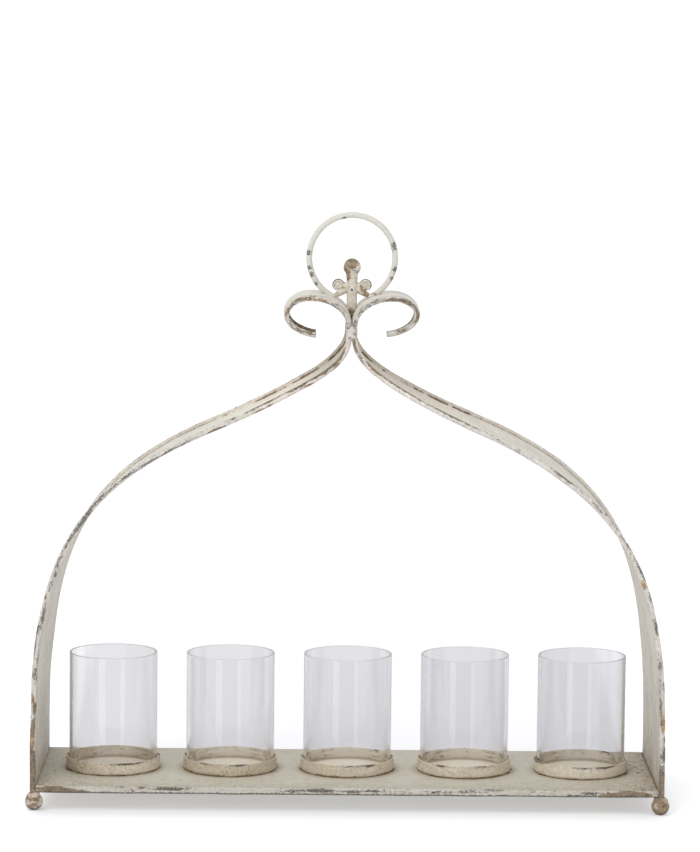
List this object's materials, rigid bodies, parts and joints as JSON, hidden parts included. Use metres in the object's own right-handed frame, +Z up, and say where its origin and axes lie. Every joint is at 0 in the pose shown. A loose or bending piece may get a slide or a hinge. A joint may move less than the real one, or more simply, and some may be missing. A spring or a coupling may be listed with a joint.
{
  "type": "hurricane candle holder",
  "caption": "Free-standing hurricane candle holder: a footed tray under an ogee arch of scrolled strap arms with a ring handle and lily finial, with loose glass cylinders in shallow cups.",
  "frame": {"origin": "on the ground under the middle of the tray", "axes": "+X along the tray to the right as seen from the front, +Y from front to back, +Z up"},
  "size_m": [0.64, 0.201, 0.5904],
  "materials": {
    "distressed_paint": "brushed cream paint, chipped to grey steel and rust along the edges",
    "worn_casting": "cream paint rubbed through to brown on the high spots",
    "clear_glass": "clear, polished"
  },
  "bodies": {
    "frame": {"tray": "distressed_paint", "left_arm": "distressed_paint", "right_arm": "distressed_paint", "handle_ring": "distressed_paint", "neck_weld_front": "distressed_paint", "neck_weld_back": "distressed_paint", "candle_cup_1": "distressed_paint", "candle_cup_2": "distressed_paint", "candle_cup_3": "distressed_paint", "candle_cup_4": "distressed_paint", "candle_cup_5": "distressed_paint", "foot_front_left": "worn_casting", "foot_back_left": "worn_casting", "foot_front_right": "worn_casting", "foot_back_right": "worn_casting", "finial": "worn_casting"},
    "glass_1": {"hurricane_glass_1": "clear_glass"},
    "glass_2": {"hurricane_glass_2": "clear_glass"},
    "glass_3": {"hurricane_glass_3": "clear_glass"},
    "glass_4": {"hurricane_glass_4": "clear_glass"},
    "glass_5": {"hurricane_glass_5": "clear_glass"}
  },
  "joints": [
    {"name": "glass_1_lift", "type": "slide", "parent": "frame", "child": "glass_1", "axis": [0, 0, 1], "range_m": [0, 0.08]},
    {"name": "glass_2_lift", "type": "slide", "parent": "frame", "child": "glass_2", "axis": [0, 0, 1], "range_m": [0, 0.13]},
    {"name": "glass_3_lift", "type": "slide", "parent": "frame", "child": "glass_3", "axis": [0, 0, 1], "range_m": [0, 0.13]},
    {"name": "glass_4_lift", "type": "slide", "parent": "frame", "child": "glass_4", "axis": [0, 0, 1], "range_m": [0, 0.13]},
    {"name": "glass_5_lift", "type": "slide", "parent": "frame", "child": "glass_5", "axis": [0, 0, 1], "range_m": [0, 0.08]}
  ]
}
